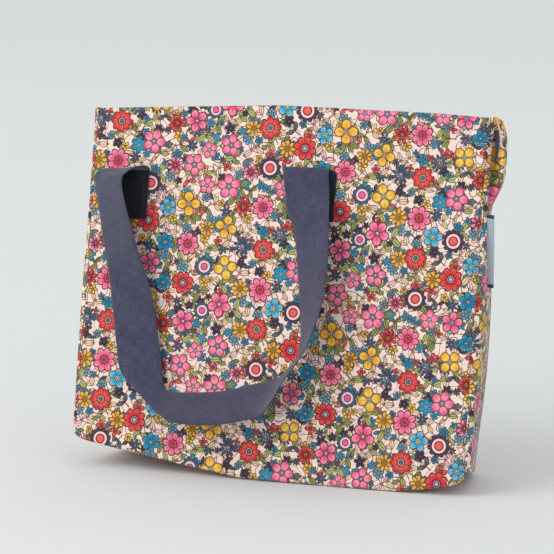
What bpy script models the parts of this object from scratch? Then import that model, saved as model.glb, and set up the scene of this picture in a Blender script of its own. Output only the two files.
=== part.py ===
"""Foldable tote bag: a soft wedge-shaped bag with two short flat handles, standing open on its base.

+X runs along the width, +Z is up and the front faces -Y. The origin is at the middle of the
bounding box's underside. Lengths are metres. Each panel hangs from its rim in a frame of its own:
x across, z up the cloth from the rim (so z is negative), and "out" away from the bag's inside.
"""

import math

import bmesh
import bpy
from mathutils import Vector

# Driving dimensions of the bag
WIDTH = 0.418
RIM_HEIGHT = 0.364
FRONT_LEAN = math.radians(12.0)
BACK_LEAN = math.radians(2.2)
MOUTH_FRONT = -0.010
MOUTH_BACK = 0.008
BACK_TAPER = 0.020
CENTRE = (0.00268, -0.02478)

# Cloth and clearances
CLOTH = 0.0014
FACING = 0.0010
GAP = 0.0003
FLOOR_GAP = 0.0004
HEM_DEPTH = 0.026
CORNER = 0.012
RIM_DIP = 0.010
BACK_RIM_DROP = 0.004

# Handles
STRAP_WIDTH = 0.047
STRAP_THICKNESS = 0.0022
STRAP_END_WIDTH = 0.050
STRAP_END_LENGTH = 0.053
HANDLE_X = -0.07375
HANDLE_SPACING = 0.1915
FOLD_DROP = 0.064
FOLD_RADIUS = 0.0027
FOLD_OUT = 0.0038
THREAD = 0.0006
STITCH_BAR = 0.0016

# Flattening: the back panel swings about a line above the mouth
FLATTEN_ABOVE = 0.050

# Side seams and label
SEAM_ALLOWANCE = 0.009
BINDING_THICKNESS = 0.0016
BASE_SEAM_INSET = 0.022
BASE_SEAM_LIFT = 0.004
LABEL_WIDTH = 0.0105
LABEL_HEIGHT = 0.072
LABEL_MIDDLE = 0.230
LABEL_ACROSS = 0.2
LABEL_START = 0.0036

# Stow pocket on the inside of the back panel
POCKET_WIDTH = 0.150
POCKET_TOP = 0.160
POCKET_HEIGHT = 0.150
FLAP_WIDTH = 0.120
FLAP_LENGTH = 0.036
FLAP_OUT = -0.0040
STUD_DROP = 0.028
STUD_RADIUS = 0.006

PRINT = ("floral_print", (0.72, 0.50, 0.44), 0.85, 0.0)
LINING = ("cloth_reverse", (0.74, 0.60, 0.54), 0.88, 0.0)
CANVAS = ("slate_canvas", (0.080, 0.076, 0.125), 0.85, 0.0)
BINDING = ("seam_binding", (0.085, 0.080, 0.130), 0.80, 0.0)
COTTON = ("sewing_thread", (0.060, 0.058, 0.100), 0.70, 0.0)
TAB = ("woven_label", (0.28, 0.33, 0.40), 0.60, 0.0)
STUD = ("stud_metal", (0.55, 0.54, 0.52), 0.35, 1.0)


def clear_scene():
    for thing in list(bpy.data.objects):
        bpy.data.objects.remove(thing)


def material(look):
    """The Principled material of that name, made once."""
    name, colour, roughness, metallic = look
    made = bpy.data.materials.get(name)
    if made is None:
        made = bpy.data.materials.new(name)
        made.use_nodes = True
        shader = made.node_tree.nodes["Principled BSDF"]
        shader.inputs["Base Color"].default_value = (*colour, 1.0)
        shader.inputs["Roughness"].default_value = roughness
        shader.inputs["Metallic"].default_value = metallic
    return made


def empty(name, location=(0, 0, 0), parent=None, lean=0.0):
    made = bpy.data.objects.new(name, None)
    bpy.context.scene.collection.objects.link(made)
    made.parent = parent
    made.location = location
    made.rotation_euler = (lean, 0, 0)
    return made


def add_object(name, bm, look, parent):
    """One sub-part from a bmesh whose points are in the parent's frame."""
    bmesh.ops.recalc_face_normals(bm, faces=bm.faces)
    mesh = bpy.data.meshes.new(name)
    bm.to_mesh(mesh)
    bm.free()
    made = bpy.data.objects.new(name, mesh)
    bpy.context.scene.collection.objects.link(made)
    made.parent = parent
    mesh.materials.append(material(look))
    return made


def rounded_outline(corners, radii, steps=4):
    """A closed outline through the corners, each rounded by its radius."""
    points = []
    count = len(corners)
    for i, radius in enumerate(radii):
        here = Vector(corners[i])
        before = (Vector(corners[i - 1]) - here).normalized()
        after = (Vector(corners[(i + 1) % count]) - here).normalized()
        if radius <= 0:
            points.append(here)
            continue
        reach = radius / math.tan(before.angle(after) / 2)
        start, end = here + before * reach, here + after * reach
        for k in range(steps + 1):
            t = k / steps
            points.append(start * (1 - t) ** 2 + here * 2 * t * (1 - t) + end * t * t)
    return points


def plate(name, loops, out_low, out_high, side, look, parent):
    """A flat piece of cloth: outlines in (x, z), from out_low to out_high on that side.

    side is -1 where out is -Y and +1 where it is +Y. Loops after the first are holes.
    """
    bm = bmesh.new()
    edges = []
    for loop in loops:
        verts = [bm.verts.new((p[0], side * out_low, p[1])) for p in loop]
        edges += [bm.edges.new((verts[i - 1], verts[i])) for i in range(len(verts))]
    bmesh.ops.triangle_fill(bm, use_beauty=True, use_dissolve=False, edges=edges)
    grown = bmesh.ops.extrude_face_region(bm, geom=list(bm.faces))
    moved = [v for v in grown["geom"] if isinstance(v, bmesh.types.BMVert)]
    bmesh.ops.translate(bm, verts=moved, vec=(0, side * (out_high - out_low), 0))
    return add_object(name, bm, look, parent)


def rectangle(x_low, x_high, z_low, z_high):
    corners = ((x_low, z_low), (x_high, z_low), (x_high, z_high), (x_low, z_high))
    return [Vector(corner) for corner in corners]


def sheet_solid(name, rows, thickness, look, parent):
    """A curved sheet from rows of (point, normal), as thick as stated, centred on the points."""
    bm = bmesh.new()
    layers = []
    for offset in (-thickness / 2, thickness / 2):
        layers.append([[bm.verts.new(p + n * offset) for p, n in row] for row in rows])
    last_row, last_column = len(rows) - 1, len(rows[0]) - 1
    for layer in layers:
        for i in range(last_row):
            for j in range(last_column):
                bm.faces.new((layer[i][j], layer[i + 1][j], layer[i + 1][j + 1], layer[i][j + 1]))
    inner, outer = layers
    for j in range(last_column):
        for i in (0, last_row):
            bm.faces.new((inner[i][j], inner[i][j + 1], outer[i][j + 1], outer[i][j]))
    for i in range(last_row):
        for j in (0, last_column):
            bm.faces.new((inner[i][j], inner[i + 1][j], outer[i + 1][j], outer[i][j]))
    return add_object(name, bm, look, parent)


def front_y(z):
    """Where the front panel's cloth lies at height z."""
    return MOUTH_FRONT - (RIM_HEIGHT - z) * math.tan(FRONT_LEAN)


def back_y(z):
    return MOUTH_BACK + (RIM_HEIGHT - z) * math.tan(BACK_LEAN)


def side_bulge(z):
    """How far the side cloth stands out: a small ear at the rim, then a shallow belly."""
    ear = 0.009 * math.exp(-(((z - 0.342) / 0.028) ** 2))
    belly = 0.006 * math.sin(math.pi * min(1.0, z / 0.260)) + 0.003
    return ear + belly


def side_x(z, across):
    """The side cloth's distance from the middle: across is 0 at the front and 1 at the back."""
    front_half = WIDTH / 2
    back_half = front_half - BACK_TAPER * (1 - z / RIM_HEIGHT)
    chord = front_half + (back_half - front_half) * across
    return chord + side_bulge(z) * 4 * across * (1 - across)


def side_point(z, across, hand):
    y = front_y(z) + (back_y(z) - front_y(z)) * across
    return Vector((hand * side_x(z, across), y, z))


def make_panels(bag, front, back):
    """The two large panels, the base between them and the folded rims inside."""
    front_length = (RIM_HEIGHT - FLOOR_GAP) / math.cos(FRONT_LEAN)
    back_length = (RIM_HEIGHT - 0.003) / math.cos(BACK_LEAN)
    half = WIDTH / 2
    dip = [(-half, -RIM_DIP), (-half * 0.93, -RIM_DIP * 0.45), (-half * 0.6, -RIM_DIP * 0.1)]
    rim = [Vector((half, 0)), Vector((0, 0))] + [Vector(p) for p in reversed(dip)]
    for side, frame, length, low_half, names in (
        (-1, front, front_length, half, ("front_panel", "front_hem", "front_hem_stitching")),
        (1, back, back_length, half - BACK_TAPER, ("back_panel", "back_hem", "back_hem_stitching")),
    ):
        foot = rounded_outline(
            [(-half, 0), (-low_half, -length), (low_half, -length), (half, 0)], [0, CORNER, CORNER, 0]
        )[1:-1]
        top = rim if side < 0 else [Vector((half, -BACK_RIM_DROP)), Vector((-half, -BACK_RIM_DROP))]
        plate(names[0], [foot + top], -CLOTH / 2, CLOTH / 2, side, PRINT, frame)
        inner = -CLOTH / 2 - GAP
        inset = 0.004
        hem_top = [Vector((min(half - inset, max(inset - half, p.x)), p.y - inset / 4)) for p in top]
        hem = [Vector((inset - half, -HEM_DEPTH)), Vector((half - inset, -HEM_DEPTH))] + hem_top
        plate(names[1], [hem], inner - FACING, inner, side, LINING, frame)
        outer = CLOTH / 2 + GAP
        seam = rectangle(-half + inset, half - inset, -HEM_DEPTH + 0.002, -HEM_DEPTH + 0.002 + THREAD)
        plate(names[2], [seam], outer, outer + THREAD / 2, side, COTTON, frame)
    make_base(bag)


def make_base(bag):
    """The flat base, its outline kept inside the four walls."""
    inset = CLOTH / 2 + 2 * GAP
    right = []
    for k in range(7):
        across = k / 6
        right.append(Vector((side_x(0.0, across) - inset - 0.0006, base_y(across))))
    corners = [Vector((-p.x, p.y)) for p in reversed(right)]
    outline = [Vector((p.x, p.y)) for p in right + corners]
    bm = bmesh.new()
    verts = [bm.verts.new((p.x, p.y, 0)) for p in outline]
    face = bm.faces.new(verts)
    grown = bmesh.ops.extrude_face_region(bm, geom=[face])
    moved = [v for v in grown["geom"] if isinstance(v, bmesh.types.BMVert)]
    bmesh.ops.translate(bm, verts=moved, vec=(0, 0, CLOTH))
    add_object("base_panel", bm, PRINT, bag)


def base_y(across):
    """Across the base between the inner faces of the front and back panels."""
    inset = CLOTH + 2 * GAP
    low, high = front_y(CLOTH) + inset, back_y(0.0) - inset
    return low + (high - low) * across


def make_sides(bag, seams):
    """Each side is the two panels' cloth wrapped round to a seam down its middle."""
    rows = 12
    for hand, word in ((1, "right"), (-1, "left")):
        spans = {"front": (0.0, 0.5), "back": (0.5, 1.0)}
        for part, (low, high) in spans.items():
            grid = []
            for i in range(rows + 1):
                z = 0.003 + (RIM_HEIGHT - 0.006) * i / rows
                depth = back_y(z) - front_y(z)
                margin = (CLOTH / 2 + 3 * GAP) / depth
                first = low + (margin if low == 0.0 else 2 * GAP / depth)
                final = high - (margin if high == 1.0 else 2 * GAP / depth)
                grid.append([side_sample(z, first + (final - first) * j / 4, hand) for j in range(5)])
            sheet_solid(f"{word}_side_{part}", grid, CLOTH, PRINT, bag)
        make_side_seam(word, hand, rows, seams[word])


def side_sample(z, across, hand):
    """A point of the side cloth and its outward normal."""
    step = 0.01
    here = side_point(z, across, hand)
    along = side_point(z, min(1.0, across + step), hand) - side_point(z, max(0.0, across - step), hand)
    up = side_point(z + 0.002, across, hand) - side_point(z - 0.002, across, hand)
    normal = along.cross(up).normalized()
    if normal.x * hand < 0:
        normal = -normal
    return here, normal


def make_side_seam(word, hand, rows, parent):
    """The bound seam allowance that stands inwards from the middle of the side."""
    grid = []
    origin = parent.matrix_world.translation
    inset = CLOTH / 2 + 5 * GAP
    for i in range(rows + 1):
        z = 0.004 + (RIM_HEIGHT - 0.012) * i / rows
        edge = side_point(z, 0.5, hand) - Vector((hand * inset, 0, 0))
        grid.append([(edge - Vector((hand * SEAM_ALLOWANCE * j, 0, 0)), Vector((0, 1, 0))) for j in (0, 1)])
    offset = bag_place() - origin
    grid = [[(p + offset, n) for p, n in row] for row in grid]
    sheet_solid(f"{word}_side_seam", grid, 0.0018, BINDING, parent)


def bag_place():
    """Where the bag's own reference point stands in the part's frame."""
    return Vector((-CENTRE[0], -CENTRE[1], 0))


def make_base_seams(front, back):
    """The bound seam allowances along the foot of the front and back panels, inside."""
    half = WIDTH / 2 - BASE_SEAM_INSET
    inner = -CLOTH / 2 - GAP
    for side, frame, lean, name in (
        (-1, front, FRONT_LEAN, "front_base_seam"),
        (1, back, BACK_LEAN, "back_base_seam"),
    ):
        foot = -(RIM_HEIGHT - BASE_SEAM_LIFT) / math.cos(lean)
        strip = rectangle(-half, half, foot, foot + SEAM_ALLOWANCE)
        plate(name, [strip], inner - BINDING_THICKNESS, inner, side, BINDING, frame)


def strap_end_x():
    return (HANDLE_X - HANDLE_SPACING / 2, HANDLE_X + HANDLE_SPACING / 2)


def box_cross(x, z_low, z_high, width):
    """Outlines of a sewn box with a cross: the outer edge and the four triangles left free."""
    half, bar = width / 2, STITCH_BAR
    cx, cz = x, (z_low + z_high) / 2
    outer = rectangle(x - half, x + half, z_low, z_high)
    tall, wide = (z_high - z_low) / 2 - bar, half - bar
    holes = []
    for sx, sz in ((0, 1), (0, -1), (1, 0), (-1, 0)):
        if sz:
            holes.append([
                Vector((cx - wide + 2 * bar, cz + sz * tall)),
                Vector((cx + wide - 2 * bar, cz + sz * tall)),
                Vector((cx, cz + sz * 2 * bar)),
            ])
        else:
            holes.append([
                Vector((cx + sx * wide, cz - tall + 2 * bar)),
                Vector((cx + sx * wide, cz + tall - 2 * bar)),
                Vector((cx + sx * 2 * bar, cz)),
            ])
    return [outer] + holes


def make_strap_ends(frame, side, name):
    """The two ends of a strap, sewn flat to the panel by a box and cross."""
    low = CLOTH / 2 + GAP
    top = -FOLD_DROP - FOLD_RADIUS - 2 * GAP
    for x, word in zip(strap_end_x(), ("left", "right")):
        half = STRAP_END_WIDTH / 2
        outline = rectangle(x - half, x + half, top - STRAP_END_LENGTH, top)
        thick = low + 0.0014
        plate(f"{name}_handle_end_{word}", [outline], low, thick, side, CANVAS, frame)
        inset = 0.005
        loops = box_cross(x, top - STRAP_END_LENGTH + inset, top - inset, STRAP_END_WIDTH - 2 * inset)
        plate(f"{name}_end_stitching_{word}", loops, thick + GAP / 2, thick + GAP, side, COTTON, frame)


# The loop's centreline: x across, depth down the panel, and how far the strap turns about itself.
LOOP = (
    (-0.1695, 0.069, 0),
    (-0.1770, 0.093, -20),
    (-0.1740, 0.127, -29),
    (-0.1600, 0.175, -14),
    (-0.1465, 0.225, 0),
    (-0.1330, 0.266, 8),
    (-0.1080, 0.296, 28),
    (-0.0710, 0.304, 40),
    (-0.0180, 0.295, 50),
    (0.0120, 0.274, 59),
    (0.0330, 0.248, 63),
    (0.0405, 0.215, 55),
    (0.0400, 0.185, 43),
    (0.0370, 0.150, 32),
    (0.0310, 0.112, 20),
    (0.0220, 0.069, 0),
)


def smooth_path(points, steps):
    """Catmull-Rom curve through the points, steps samples to a span."""
    points = [Vector(p) for p in points]
    ends = [points[0] * 2 - points[1]] + points + [points[-1] * 2 - points[-2]]
    samples = []
    for i in range(1, len(ends) - 2):
        a, b, c, d = ends[i - 1 : i + 3]
        for k in range(steps):
            t = k / steps
            bend = (2 * a - 5 * b + 4 * c - d) * t**2 + (3 * b - a - 3 * c + d) * t**3
            samples.append(0.5 * (2 * b + (c - a) * t + bend))
    return samples + [points[-1]]


def fold_sections(x, reverse):
    """Half turns of the strap over its fold: centre, width and thickness directions."""
    sections = []
    radius = FOLD_RADIUS - STRAP_THICKNESS / 2
    for k in range(6):
        turn = math.pi * (1 - k / 6)
        radial = Vector((0, math.cos(turn), math.sin(turn)))
        centre = Vector((x, 0, 0)) + radial * radius
        sections.append((centre, Vector((1, 0, 0)), radial))
    return sections[::-1] if reverse else sections


def loop_sections():
    """Sections of the hanging loop, in (x, out, z) about the fold line."""
    rest_out = FOLD_RADIUS - STRAP_THICKNESS / 2
    path = smooth_path([(x, -depth, math.radians(turn)) for x, depth, turn in LOOP], 3)
    sections = []
    for i, (x, z, turn) in enumerate(path):
        before, after = path[max(0, i - 1)], path[min(len(path) - 1, i + 1)]
        along = Vector((after[0] - before[0], 0, after[1] - before[1])).normalized()
        if i in (0, len(path) - 1):
            along = Vector((0, 0, math.copysign(1, along.z)))
        flat = Vector((-along.z, 0, along.x))
        out = Vector((0, 1, 0))
        width = flat * math.cos(turn) - out * math.sin(turn)
        normal = out * math.cos(turn) + flat * math.sin(turn)
        lift = STRAP_WIDTH / 2 * abs(math.sin(turn))
        centre = Vector((x, rest_out + lift, z + FOLD_DROP))
        sections.append((centre, width, normal))
    return sections


def make_handle(name, side, parent):
    """The free part of a strap: folded over at both ends and hanging in a loop."""
    left, right = strap_end_x()
    sections = fold_sections(left, False) + loop_sections() + fold_sections(right, True)
    bm = bmesh.new()
    rings = []
    last_width = None
    for centre, width, normal in sections:
        if last_width is not None and width.dot(last_width) < 0:
            width = -width
        last_width = width
        across, thick = width * STRAP_WIDTH / 2, normal * STRAP_THICKNESS / 2
        inner, outer = centre - thick, centre + thick
        corners = (inner - across, inner + across, outer + across, outer - across)
        rings.append([bm.verts.new((p.x, side * p.y, p.z)) for p in corners])
    for near, far in zip(rings, rings[1:]):
        for k in range(4):
            bm.faces.new((near[k - 1], near[k], far[k], far[k - 1]))
    bm.faces.new(rings[0])
    bm.faces.new(rings[-1])
    bmesh.ops.triangulate(bm, faces=bm.faces)
    return add_object(name, bm, CANVAS, parent)


def make_label(parent):
    """The woven tab sewn to the right side, just behind the front edge."""
    half = LABEL_HEIGHT / 2
    start = LABEL_START
    outline = rounded_outline(
        [(start, -half), (start + LABEL_WIDTH, -half), (start + LABEL_WIDTH, half), (start, half)],
        [0, 0.001, 0.001, 0],
    )
    plate("side_label", [outline], -0.0005, 0.0005, 1, TAB, parent)


def make_pocket(back, flap_frame):
    """The stow pocket that the folded bag packs into, with its flap and press stud."""
    inner = -CLOTH / 2 - GAP
    half = POCKET_WIDTH / 2
    low = -POCKET_TOP - POCKET_HEIGHT
    pocket = rounded_outline(
        [(-half, -POCKET_TOP), (-half, low), (half, low), (half, -POCKET_TOP)], [0, CORNER, CORNER, 0]
    )
    plate("stow_pocket", [pocket], inner - FACING, inner, 1, LINING, back)
    face = inner - FACING - GAP
    strip = rectangle(-half, half, -POCKET_TOP - 0.012, -POCKET_TOP)
    plate("pocket_binding", [strip], face - 0.0006, face, 1, BINDING, back)
    socket = disc_outline(0, -POCKET_TOP + 0.006 - STUD_DROP, STUD_RADIUS * 0.8)
    plate("stud_socket", [socket], face - 0.0007, face, 1, STUD, back)
    wide = FLAP_WIDTH / 2
    flap = rounded_outline(
        [(-wide, 0), (-wide, -FLAP_LENGTH), (wide, -FLAP_LENGTH), (wide, 0)], [0, CORNER, CORNER, 0]
    )
    plate("pocket_flap", [flap], -FACING / 2, FACING / 2, 1, LINING, flap_frame)
    cap = disc_outline(0, -STUD_DROP, STUD_RADIUS)
    plate("stud_cap", [cap], -FACING / 2 - GAP - 0.0011, -FACING / 2 - GAP, 1, STUD, flap_frame)


def disc_outline(x, z, radius, count=20):
    turns = [2 * math.pi * k / count for k in range(count)]
    return [Vector((x + radius * math.cos(t), z + radius * math.sin(t))) for t in turns]


def main():
    clear_scene()
    bag = empty("bag", bag_place())
    front = empty("front_frame", (0, MOUTH_FRONT, RIM_HEIGHT), bag, -FRONT_LEAN)
    hinge_height = RIM_HEIGHT + FLATTEN_ABOVE
    flatten = empty("flatten_axis", (0, back_y(hinge_height), hinge_height), bag)
    drop = Vector((0, MOUTH_BACK, RIM_HEIGHT)) - flatten.location
    back = empty("back_frame", drop, flatten, BACK_LEAN)
    seams = {word: empty(f"{word}_seam_axis", flatten.location, bag) for word in ("right", "left")}
    bpy.context.view_layer.update()
    make_panels(bag, front, back)
    make_sides(bag, seams)
    make_base_seams(front, back)
    for name, side, frame in (("front", -1, front), ("back", 1, back)):
        make_strap_ends(frame, side, name)
        axis = empty(f"{name}_fold_axis", (0, side * FOLD_OUT, -FOLD_DROP), frame)
        make_handle(f"{name}_handle", side, axis)
    seam = side_point(LABEL_MIDDLE, LABEL_ACROSS, 1)
    make_label(empty("label_axis", seam, bag))
    make_pocket(back, empty("flap_axis", (0, FLAP_OUT, -POCKET_TOP + 0.006), back))
    bpy.context.view_layer.update()


main()
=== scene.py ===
"""The look of the foldable tote bag: printed cotton, slate canvas handles and a woven side tab.

Lengths are metres. Bag coordinates have x = 0 at the middle of the mouth and z up from the floor;
a panel's own coordinates are x across, depth down the cloth from the rim, and out from the bag.
side is -1 for the front panel and 1 for the back one, hand is 1 for the right end and -1 for the
left one, and across runs from 0 at the front panel to 1 at the back one.
"""

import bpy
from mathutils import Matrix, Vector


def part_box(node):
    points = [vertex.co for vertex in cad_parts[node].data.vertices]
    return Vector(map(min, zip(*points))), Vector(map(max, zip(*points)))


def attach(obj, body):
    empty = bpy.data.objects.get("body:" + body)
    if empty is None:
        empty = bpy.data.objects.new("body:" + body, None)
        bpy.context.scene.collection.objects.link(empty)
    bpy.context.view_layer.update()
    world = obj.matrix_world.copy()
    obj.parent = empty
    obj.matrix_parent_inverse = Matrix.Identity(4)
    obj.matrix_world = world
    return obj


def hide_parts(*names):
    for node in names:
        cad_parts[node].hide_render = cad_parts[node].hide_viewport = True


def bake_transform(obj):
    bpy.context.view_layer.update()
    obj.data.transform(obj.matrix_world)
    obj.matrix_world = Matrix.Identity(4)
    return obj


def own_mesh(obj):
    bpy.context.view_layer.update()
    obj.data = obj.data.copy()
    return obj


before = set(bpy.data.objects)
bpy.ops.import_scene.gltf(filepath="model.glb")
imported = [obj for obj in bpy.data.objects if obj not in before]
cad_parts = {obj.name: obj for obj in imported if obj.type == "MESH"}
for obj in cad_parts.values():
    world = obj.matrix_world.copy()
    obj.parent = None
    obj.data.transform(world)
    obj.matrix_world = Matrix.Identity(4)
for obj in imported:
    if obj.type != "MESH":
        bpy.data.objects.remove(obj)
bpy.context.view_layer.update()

import math
from collections import namedtuple

import bmesh
import bpy
from mathutils import Matrix, Vector, noise

# The bag's driving dimensions, as in the part; those with two values are by side
WIDTH = 0.418
RIM_HEIGHT = 0.364
LEAN = {-1: math.radians(12.0), 1: math.radians(2.2)}
MOUTH = {-1: -0.010, 1: 0.008}
BACK_TAPER = 0.020
BAG = Vector((-0.00268, 0.02478, 0.0))
HEM_DEPTH = 0.026
ACROSS = {-1: 0.0, 1: 1.0}
PANEL_DEPTH = {side: RIM_HEIGHT / math.cos(lean) for side, lean in LEAN.items()}

# Handles as the photo shows them, with the right sewn end 6 mm further right than in the part.
# FOLD_DEPTH is how far down the left and the right end fold over.
STRAP_THICKNESS = 0.0020
STRAP_END_WIDTH = 0.049
STRAP_END_LENGTH = 0.050
STRAP_END_OUT = 0.0020
FREE_STRAP_OUT = 0.0055
HANDLE_X = -0.0705
HANDLE_SPACING = 0.197
FOLD_DEPTH = {-1: 0.0705, 1: 0.0625}

# Each panel's side, name and body, and each end's hand and name
SIDES = ((-1, "front", "root"), (1, "back", "back"))
HANDS = ((-1, "left"), (1, "right"))

# Cloth as it is made up here
CLOTH = 0.0011
EDGE_ROUND = 0.005
FOOT_ROUND = 0.0025
FOLD_RADIUS = 0.0013
BACK_PRINT_SHIFT = 0.43

# How finely it is drawn: up and along the outside, round the foot, round the rim and to the hem
ROWS = 88
COLUMNS = 104
SIDE_COLUMNS = 56
FOOT_STEPS = 4
FOLD_ROUND_STEPS = 4
FOLD_STEPS = 10
FOOT_TO_HEM = range(-FOOT_STEPS, ROWS + FOLD_STEPS + 1)

# The rim: its slack, how much lower it is at the back, and its slopes with where they start
RIM_SLACK = 0.0015
BACK_RIM_DROP = 0.0045
LEFT_SLOPE, LEFT_SLOPE_X = 0.061, -0.012
RIGHT_SLOPE, RIGHT_SLOPE_X = 0.030, 0.150

# The foot: how far it stands off the floor at the front corners, along the sides and behind
LEFT_LIFT = 0.025
RIGHT_LIFT = 0.013
SIDE_LIFT = 0.008
REAR_LIFT = 0.006

# The right side's ear under the rim, and the crease between it and the front edge
EAR_OUT = 0.0110
EAR_Z = 0.321
CREASE_DEPTH = 0.017
CREASE_Z = 0.320
CREASE_WAY = Vector((-0.6, 0.8))


# ---- the shape of the bag

def smooth(value):
    """A ramp from 0 to 1 with soft ends."""
    value = max(0.0, min(1.0, value))
    return value * value * (3 - 2 * value)


def past(value, start, length):
    """How far the value is past the start, counted in lengths."""
    return max(0.0, (value - start) / length)


def hump(value, middle, reach, power=2):
    """1 in the middle and 0 well beyond the reach; a higher power gives a flatter top."""
    return math.exp(-(((value - middle) / reach) ** power))


def panel_y(side, z):
    return MOUTH[side] + side * (RIM_HEIGHT - z) * math.tan(LEAN[side])


def rim_z(x, across):
    """The rim's height: it sinks towards the left, a little at the right end, and at the back."""
    dip = LEFT_SLOPE * max(0.0, LEFT_SLOPE_X - x) + RIGHT_SLOPE * max(0.0, x - RIGHT_SLOPE_X)
    return RIM_HEIGHT - RIM_SLACK - BACK_RIM_DROP * across - dip


def corner_lift(distance, length, height):
    """How much a rounded corner rises towards its end, distance being what is left to the end."""
    share = max(0.0, min(0.999, (length - distance) / length))
    return height * (1 - math.sqrt(1 - share * share))


def foot_z(x, across):
    """The underside's height: the front corners and both ends stand a little off the floor."""
    half = WIDTH / 2
    left = LEFT_LIFT * past(-x, 0.030, 0.173) ** 1.15 + corner_lift(half + x, 0.018, 0.007)
    left += 0.0020 * smooth((0.030 - x) / 0.100)
    right = RIGHT_LIFT * past(x, 0.130, 0.079) ** 1.4 + corner_lift(half - x, 0.022, 0.009)
    middle = SIDE_LIFT * math.sin(math.pi * across) * smooth((abs(x) - 0.165) / 0.030)
    rear = corner_lift(1.0 - across, 0.35, REAR_LIFT) * smooth((abs(x) - 0.150) / 0.040)
    return left * (1 - across) ** 1.7 + right * (1 - across) ** 1.6 + middle + rear


def side_bulge(z, hand):
    """How far a side stands out in its middle."""
    ear = EAR_OUT * hump(z, EAR_Z, 0.038, 4) if hand > 0 else 0.0
    belly = 0.003 * math.sin(math.pi * min(1.0, z / 0.260)) + 0.001
    return ear + belly


def side_half(z, across):
    """Half the bag's width: the back tapers to the foot, and is pinched there and below the ear."""
    pinch = 0.007 * hump(z, 0.0, 0.08) + 0.0045 * hump(z, 0.252, 0.032)
    back_half = WIDTH / 2 - BACK_TAPER * (1 - z / RIM_HEIGHT) - pinch
    return WIDTH / 2 + (back_half - WIDTH / 2) * across


def side_curve(z, across, hand):
    """A point of the side cloth at height z, in (distance from the middle, y)."""
    y = panel_y(-1, z) + (panel_y(1, z) - panel_y(-1, z)) * across
    lean = across + 0.12 * math.sin(2 * math.pi * across)
    return Vector((side_half(z, across) + side_bulge(z, hand) * 4 * lean * (1 - lean), y))


def bezier(start, bend, end, t):
    return start * (1 - t) ** 2 + bend * 2 * t * (1 - t) + end * t * t


def tuck(z, hand):
    """How far the cloth is drawn in along the front edge near the rim."""
    return (0.0050 if hand > 0 else 0.002) * hump(z, 0.325, 0.030)


def smooth_side(z, share, hand):
    """Round the side at height z, from the front panel's plane (0) to the back panel's (1)."""
    depth = panel_y(1, z) - panel_y(-1, z)
    turn = min(0.28, EDGE_ROUND / depth)
    ends = 0.18
    if share < ends:
        start = Vector((WIDTH / 2 - EDGE_ROUND, panel_y(-1, z)))
        bend = Vector((WIDTH / 2 - 0.4 * tuck(z, hand), panel_y(-1, z) + tuck(z, hand)))
        return bezier(start, bend, side_curve(z, turn, hand), share / ends)
    if share > 1 - ends:
        start = Vector((side_half(z, 1.0) - EDGE_ROUND, panel_y(1, z)))
        bend = Vector((side_half(z, 1.0), panel_y(1, z)))
        return bezier(start, bend, side_curve(z, 1 - turn, hand), (1 - share) / ends)
    across = turn + (1 - 2 * turn) * (share - ends) / (1 - 2 * ends)
    return side_curve(z, across, hand)


def side_outline(z, share, hand):
    """The same with the crease beside the ear."""
    groove = CREASE_DEPTH * hump(z, CREASE_Z, 0.036, 4) if hand > 0 else 0.0
    groove *= hump(share, 0.15, 0.050)
    return smooth_side(z, share, hand) + CREASE_WAY * groove


def panel_wave(side, x, z):
    """Small slack waves in a panel, none at its edges. Both panels' waves nest when it is flat."""
    fade = smooth((WIDTH / 2 - EDGE_ROUND - abs(x)) / 0.030) * smooth(z / 0.05)
    fade *= 0.35 + 0.65 * smooth((RIM_HEIGHT - z) / 0.04)
    broad = noise.noise(Vector((x * 11.0, z * 7.0, 3.7)))
    fine = noise.noise(Vector((x * 34.0 + z * 12.0, z * 22.0, 9.1)))
    return -side * fade * (0.0014 * broad + 0.0005 * fine)


def panel_point(side, x, depth, out):
    """A point in a panel's own coordinates."""
    lean = LEAN[side]
    down = Vector((0, side * math.sin(lean), -math.cos(lean)))
    away = Vector((0, side * math.cos(lean), math.sin(lean)))
    return BAG + Vector((x, MOUTH[side], RIM_HEIGHT)) + down * depth + away * out


def panel_outward(side):
    return panel_point(side, 0, 0, 1) - panel_point(side, 0, 0, 0)


# ---- meshes

def in_scene(name, data):
    made = bpy.data.objects.new(name, data)
    bpy.context.scene.collection.objects.link(made)
    return made


def new_object(name, bm, materials):
    bmesh.ops.recalc_face_normals(bm, faces=bm.faces)
    mesh = bpy.data.meshes.new(name)
    bm.to_mesh(mesh)
    bm.free()
    for material in materials:
        mesh.materials.append(material)
    mesh.polygons.foreach_set("use_smooth", [True] * len(mesh.polygons))
    return in_scene(name, mesh)


def grid_normals(points):
    """The normal at each point of a grid, along x down."""
    rows, columns = len(points), len(points[0])
    normals = []
    for i in range(rows):
        line = []
        for j in range(columns):
            down = points[min(rows - 1, i + 1)][j] - points[max(0, i - 1)][j]
            along = points[i][min(columns - 1, j + 1)] - points[i][max(0, j - 1)]
            line.append(along.cross(down).normalized())
        normals.append(line)
    return normals


def uv_face(bm, layer, corners, slot=0):
    """A face between corners of (vertex, place on the flat cloth)."""
    made = bm.faces.new([vert for vert, _ in corners])
    made.material_index = slot
    for loop, (_, place) in zip(made.loops, corners):
        loop[layer].uv = place


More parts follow.
